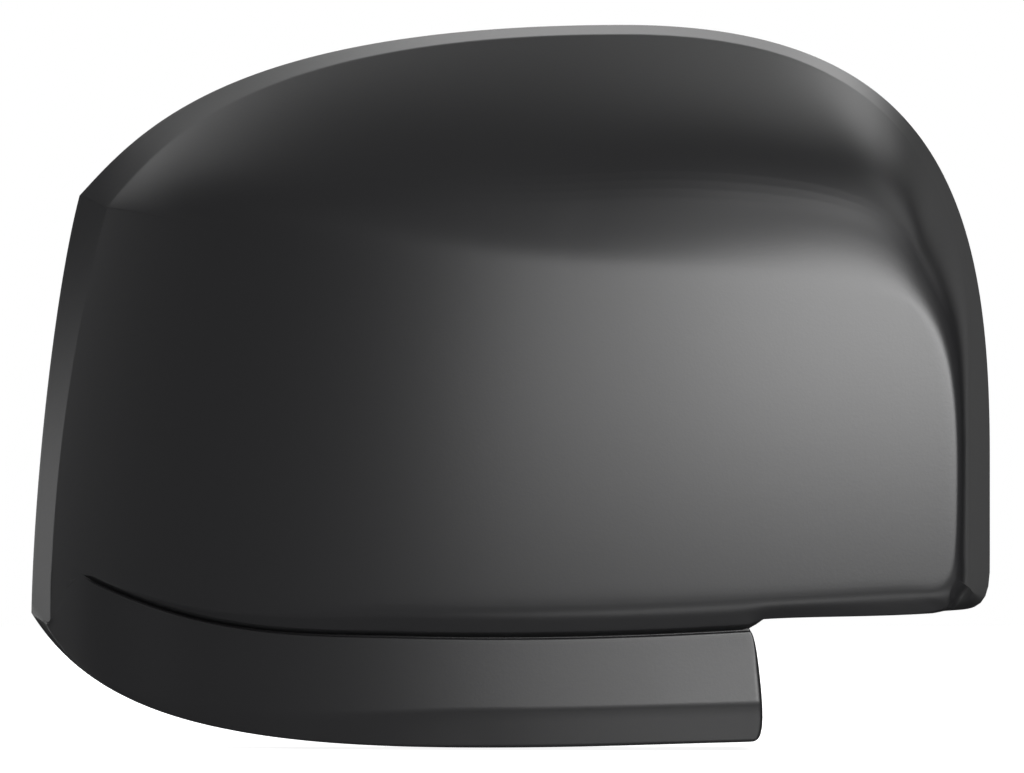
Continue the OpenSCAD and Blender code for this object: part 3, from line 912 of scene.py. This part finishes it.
def hook(target, rows, plain):
    """A snap hook on the wall inside the rim."""

    def wall_at(depth):
        for a, b in zip(rows, rows[1:]):
            if -b.y >= depth:
                return mix(front_of(a), front_of(b), (depth + a.y) / (a.y - b.y))
        return front_of(rows[-1])

    near = wall_at(HOOK_ROOT_D - HOOK_FOOT)
    far = wall_at(HOOK_ROOT_D)
    inward = (front_of(rows[0]) - front_of(plain[0])).normalized()
    reach = inward.dot(far - near)
    front = HOOK_LEN - HOOK_ROOT_D
    tongue = reach + HOOK_GAP
    profile = (
        (reach - HOOK_EMBED, -HOOK_ROOT_D),
        (-HOOK_EMBED, HOOK_FOOT - HOOK_ROOT_D),
        (tongue, HOOK_FOOT - HOOK_ROOT_D),
        (tongue, front - 2 * BARB_H),
        (tongue - BARB_H, front - 2 * BARB_H),
        (tongue - BARB_H, front - 1.4 * BARB_H),
        (tongue + HOOK_T / 2, front),
        (tongue + HOOK_T, front),
        (tongue + HOOK_T, -HOOK_ROOT_D),
    )
    bm = bmesh.new()
    side = left_of(inward)
    start = near - side * HOOK_W / 2
    ring = []
    for out, y in profile:
        place = start + inward * out
        ring.append(bm.verts.new(Vector((place.x, y, place.y)) * MM))
    face = bm.faces.new(ring)
    raised = bmesh.ops.extrude_face_region(bm, geom=[face])
    verts = [g for g in raised["geom"] if isinstance(g, bmesh.types.BMVert)]
    bmesh.ops.translate(bm, verts=verts, vec=Vector((side.x, 0, side.y)) * HOOK_W * MM)
    bmesh.ops.recalc_face_normals(bm, faces=bm.faces)
    bevel_all(bm, 0.25)
    absorb(target, bm)


def linear(hex_colour):
    """A hex sRGB colour as linear red, green, blue and alpha."""
    values = [int(hex_colour[i : i + 2], 16) / 255 for i in (1, 3, 5)]
    return tuple(v / 12.92 if v <= 0.04045 else ((v + 0.055) / 1.055) ** 2.4 for v in values) + (1.0,)


def node(tree, kind, links=(), **settings):
    """Adds a node, sets its inputs and properties, and links outputs to its inputs."""
    made = tree.nodes.new(kind)
    for name, value in settings.items():
        if hasattr(made, name):
            setattr(made, name, value)
        else:
            made.inputs[name.replace("_", " ")].default_value = value
    for name, output in links:
        tree.links.new(output, made.inputs[name])
    return made


class CoverSizes(bpy.types.PropertyGroup):
    """Rounding of the cover's edges."""

    edge_radius: FloatProperty(
        name="Band edge radius",
        description="Rounding between the band and the face, in millimetres",
        default=1.0,
        min=0,
    )
    end_radius: FloatProperty(
        name="Strip end radius",
        description="Rounding of the strip's end, in millimetres",
        default=1.2,
        min=0,
    )
    soft_passes: IntProperty(
        name="Crease softness", description="How often the crease is smoothed", default=6, min=0, max=40
    )


class CoverFinish(bpy.types.PropertyGroup):
    """Colour and grain of the moulded plastic."""

    colour: FloatVectorProperty(
        name="Plastic",
        description="Colour of the plastic",
        subtype="COLOR",
        size=4,
        default=linear("#141415"),
    )
    grain_mm: FloatProperty(
        name="Grain", description="Width of one grain, in millimetres", default=0.7, min=0.1
    )
    roughness: FloatProperty(
        name="Roughness", description="Roughness of the surface", default=0.4, min=0, max=1
    )


def radiance(name, place, default):
    """The setting for the radiance of one light."""
    return FloatProperty(name=name, description=f"Radiance of the {place}", default=default, min=0)


class StudioSetup(bpy.types.PropertyGroup):
    """Camera and lights."""

    camera_distance: FloatProperty(
        name="Camera distance",
        description="Camera to the cover",
        default=6.0,
        subtype="DISTANCE",
        unit="LENGTH",
    )
    front: radiance("Front", "front soft box", 18.0)
    fill: radiance("Fill", "box left of the front one", 3.85)
    overhead: radiance("Overhead", "high front box", 3.3)
    high_side: radiance("High side", "high inner box", 1.6)
    rear_side: radiance("Rear side", "rear inner box", 1.0)
    rim_side: radiance("Rim side", "box behind the inner wall", 0.3)
    left: radiance("Left", "left soft box", 1.95)
    high_left: radiance("High left", "high left box", 0.8)
    top: radiance("Top", "box above and behind", 2.2)
    crown: radiance("Crown", "high rear box", 0.6)
    under: radiance("Under", "box under the floor", 2.0)
    ambient: radiance("Ambient", "room", 0.01)


# Grit of the etched mould within its grain, and the depth of both, in millimetres
GRIT_MM = 0.35
GRAIN_DEPTH_MM = 0.05


def cover_plastic(finish):
    """Black-grey ABS, injection moulded in an etched mould: satin, with a fine even grain."""
    material = bpy.data.materials.new("abs_moulded_fine_grain")
    material.use_nodes = True
    tree = material.node_tree
    tree.nodes.clear()
    place = node(tree, "ShaderNodeTexCoord")
    grain = node(
        tree, "ShaderNodeTexVoronoi", [("Vector", place.outputs["Object"])],
        feature="SMOOTH_F1", Scale=1 / (finish.grain_mm * MM), Smoothness=0.6,
    )
    fine = node(
        tree, "ShaderNodeTexNoise", [("Vector", place.outputs["Object"])],
        Scale=1 / (GRIT_MM * MM), Detail=2.0,
    )
    relief = node(
        tree, "ShaderNodeMath", [(0, grain.outputs["Distance"]), (1, fine.outputs["Fac"])],
        operation="ADD",
    )
    bump = node(
        tree, "ShaderNodeBump", [("Height", relief.outputs["Value"])],
        Strength=0.12, Distance=GRAIN_DEPTH_MM * MM,
    )
    surface = node(
        tree, "ShaderNodeBsdfPrincipled", [("Normal", bump.outputs["Normal"])],
        Base_Color=tuple(finish.colour), Roughness=finish.roughness, IOR=1.5,
    )
    node(tree, "ShaderNodeOutputMaterial", [("Surface", surface.outputs["BSDF"])])
    return material


def floor_paint():
    """Matt white painted board under the part."""
    material = bpy.data.materials.new("white_matt_board")
    material.use_nodes = True
    surface = material.node_tree.nodes["Principled BSDF"]
    surface.inputs["Base Color"].default_value = linear("#f4f4f4")
    surface.inputs["Roughness"].default_value = 0.9
    surface.inputs["Emission Color"].default_value = linear("#ffffff")
    surface.inputs["Emission Strength"].default_value = 0.9
    return material


class COVER_OT_build(bpy.types.Operator):
    """Build the cover: shell, ribs, towers, pins and snap hooks in one moulding"""

    bl_idname = "mirror_cover.build"
    bl_label = "Build Cover"

    def execute(self, context):
        sizes = context.scene.cover_sizes
        bm = bmesh.new()
        shell_mesh(bm, sizes.edge_radius, sizes.end_radius, sizes.soft_passes)
        ribs(bm)
        for x, z in PIN_PLACES:
            tower(bm, x, z)
        inner, plain, past = inner_columns()
        starts = {"top": NZ, "inner": NZ + NX, "bottom": 2 * NZ + NX, "strip": past + 1}
        for part, offset in HOOKS:
            station = starts[part] + offset
            hook(bm, inner[station], plain[station])
        if not bm.faces:
            raise RuntimeError("the cover's mesh is empty")
        for face in bm.faces:
            face.smooth = True
        for edge in bm.edges:
            edge.smooth = len(edge.link_faces) != 2 or edge.calc_face_angle() < math.radians(38)
        mesh = bpy.data.meshes.new("moulded_cover")
        bm.to_mesh(mesh)
        bm.free()
        cover = bpy.data.objects.new("moulded_cover", mesh)
        context.scene.collection.objects.link(cover)
        mesh.materials.append(cover_plastic(context.scene.cover_finish))
        # Large faces lead the shading, so small faces beside them leave no streaks
        shading = cover.modifiers.new("even_shading", "WEIGHTED_NORMAL")
        shading.mode = "FACE_AREA"
        shading.weight = 80
        shading.keep_sharp = True
        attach(cover, BODY)
        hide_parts(NODE)
        return {"FINISHED"}


# Each soft box: its azimuth and elevation in degrees, and its width and height in metres.
# Azimuth 0 is in front of the cover and 90 on its inner side
SOFT_BOXES = (
    ("front", (10, 16), (1.0, 1.0)),
    ("fill", (-18, 14), (1.0, 1.2)),
    ("overhead", (20, 60), (1.2, 1.0)),
    ("high_side", (75, 60), (1.0, 1.0)),
    ("rear_side", (120, 45), (1.0, 1.2)),
    ("rim_side", (150, 0), (0.8, 1.6)),
    ("left", (-128, 4), (1.0, 1.8)),
    ("high_left", (-128, 42), (1.0, 1.2)),
    ("top", (-170, 26), (2.4, 0.9)),
    ("crown", (-168, 52), (1.6, 0.6)),
    ("under", (10, -50), (2.2, 1.0)),
)
BOX_DISTANCE = 2.5
# Half the floor's width in metres
FLOOR_HALF = 3.0
# What the camera sees across the rim's plane in metres, and its sensor in millimetres
FRAME_WIDTH = 0.256
SENSOR_WIDTH = 36.0


def soft_box(name, angles, size, strength):
    """A soft box that faces the cover, with its radiance as its strength."""
    data = bpy.data.lights.new(name, "AREA")
    data.shape = "RECTANGLE"
    data.size, data.size_y = size
    data.energy = 4 * strength * size[0] * size[1]
    lamp = bpy.data.objects.new(name, data)
    bpy.context.scene.collection.objects.link(lamp)
    azimuth, elevation = (math.radians(a) for a in angles)
    way = Vector((
        math.sin(azimuth) * math.cos(elevation),
        -math.cos(azimuth) * math.cos(elevation),
        math.sin(elevation),
    ))
    lamp.location = way * BOX_DISTANCE
    lamp.rotation_euler = (-way).to_track_quat("-Z", "Y").to_euler()
    lamp.visible_camera = False
    return lamp


class COVER_OT_stage(bpy.types.Operator):
    """Set up the floor, the lights and the camera"""

    bl_idname = "mirror_cover.stage"
    bl_label = "Set Up Studio"

    def execute(self, context):
        studio = context.scene.cover_studio
        bm = bmesh.new()
        bmesh.ops.create_grid(bm, x_segments=1, y_segments=1, size=FLOOR_HALF)
        bmesh.ops.translate(bm, verts=bm.verts, vec=(0, 0, CAD_LOW[2]))
        mesh = bpy.data.meshes.new("floor")
        bm.to_mesh(mesh)
        bm.free()
        floor = bpy.data.objects.new("floor", mesh)
        context.scene.collection.objects.link(floor)
        mesh.materials.append(floor_paint())
        # A translucent shooting table: the box under it lights the part through it
        floor.visible_glossy = False
        floor.visible_shadow = False

        world = bpy.data.worlds.new("studio")
        context.scene.world = world
        world.use_nodes = True
        # White paper round the set, which lights the cover only faintly
        tree = world.node_tree
        tree.nodes.clear()
        rays = node(tree, "ShaderNodeLightPath")
        dim = node(tree, "ShaderNodeBackground", Color=linear("#ffffff"), Strength=studio.ambient)
        white = node(tree, "ShaderNodeBackground", Color=linear("#ffffff"), Strength=1.0)
        seen = node(
            tree, "ShaderNodeMixShader",
            [("Fac", rays.outputs["Is Camera Ray"]), (1, dim.outputs[0]), (2, white.outputs[0])],
        )
        node(tree, "ShaderNodeOutputWorld", [("Surface", seen.outputs[0])])

        for name, angles, size in SOFT_BOXES:
            soft_box(name, angles, size, getattr(studio, name))

        camera_data = bpy.data.cameras.new("camera")
        camera = bpy.data.objects.new("camera", camera_data)
        context.scene.collection.objects.link(camera)
        distance = studio.camera_distance
        camera.location = (0, -distance, 0)
        camera.rotation_euler = (math.radians(90), 0, 0)
        camera_data.sensor_width = SENSOR_WIDTH
        camera_data.lens = SENSOR_WIDTH * distance / FRAME_WIDTH
        camera_data.clip_end = 30
        context.scene.camera = camera
        context.scene.view_settings.view_transform = "Standard"
        return {"FINISHED"}


class COVER_PT_panel(bpy.types.Panel):
    """Buttons and sizes of the mirror cover"""

    bl_label = "Mirror Cover"
    bl_idname = "COVER_PT_panel"
    bl_space_type = "VIEW_3D"
    bl_region_type = "UI"
    bl_category = "Mirror Cover"

    def draw(self, context):
        layout = self.layout
        scene = context.scene
        for group in (scene.cover_sizes, scene.cover_finish, scene.cover_studio):
            for name in group.__annotations__:
                layout.prop(group, name)
        layout.operator(COVER_OT_build.bl_idname)
        layout.operator(COVER_OT_stage.bl_idname)


CLASSES = (CoverSizes, CoverFinish, StudioSetup, COVER_OT_build, COVER_OT_stage, COVER_PT_panel)


def register():
    for cls in CLASSES:
        bpy.utils.register_class(cls)
    bpy.types.Scene.cover_sizes = PointerProperty(type=CoverSizes)
    bpy.types.Scene.cover_finish = PointerProperty(type=CoverFinish)
    bpy.types.Scene.cover_studio = PointerProperty(type=StudioSetup)


def unregister():
    del bpy.types.Scene.cover_studio
    del bpy.types.Scene.cover_finish
    del bpy.types.Scene.cover_sizes
    for cls in reversed(CLASSES):
        bpy.utils.unregister_class(cls)


def main():
    register()
    bpy.ops.mirror_cover.build()
    bpy.ops.mirror_cover.stage()


if __name__ == "__main__":
    main()
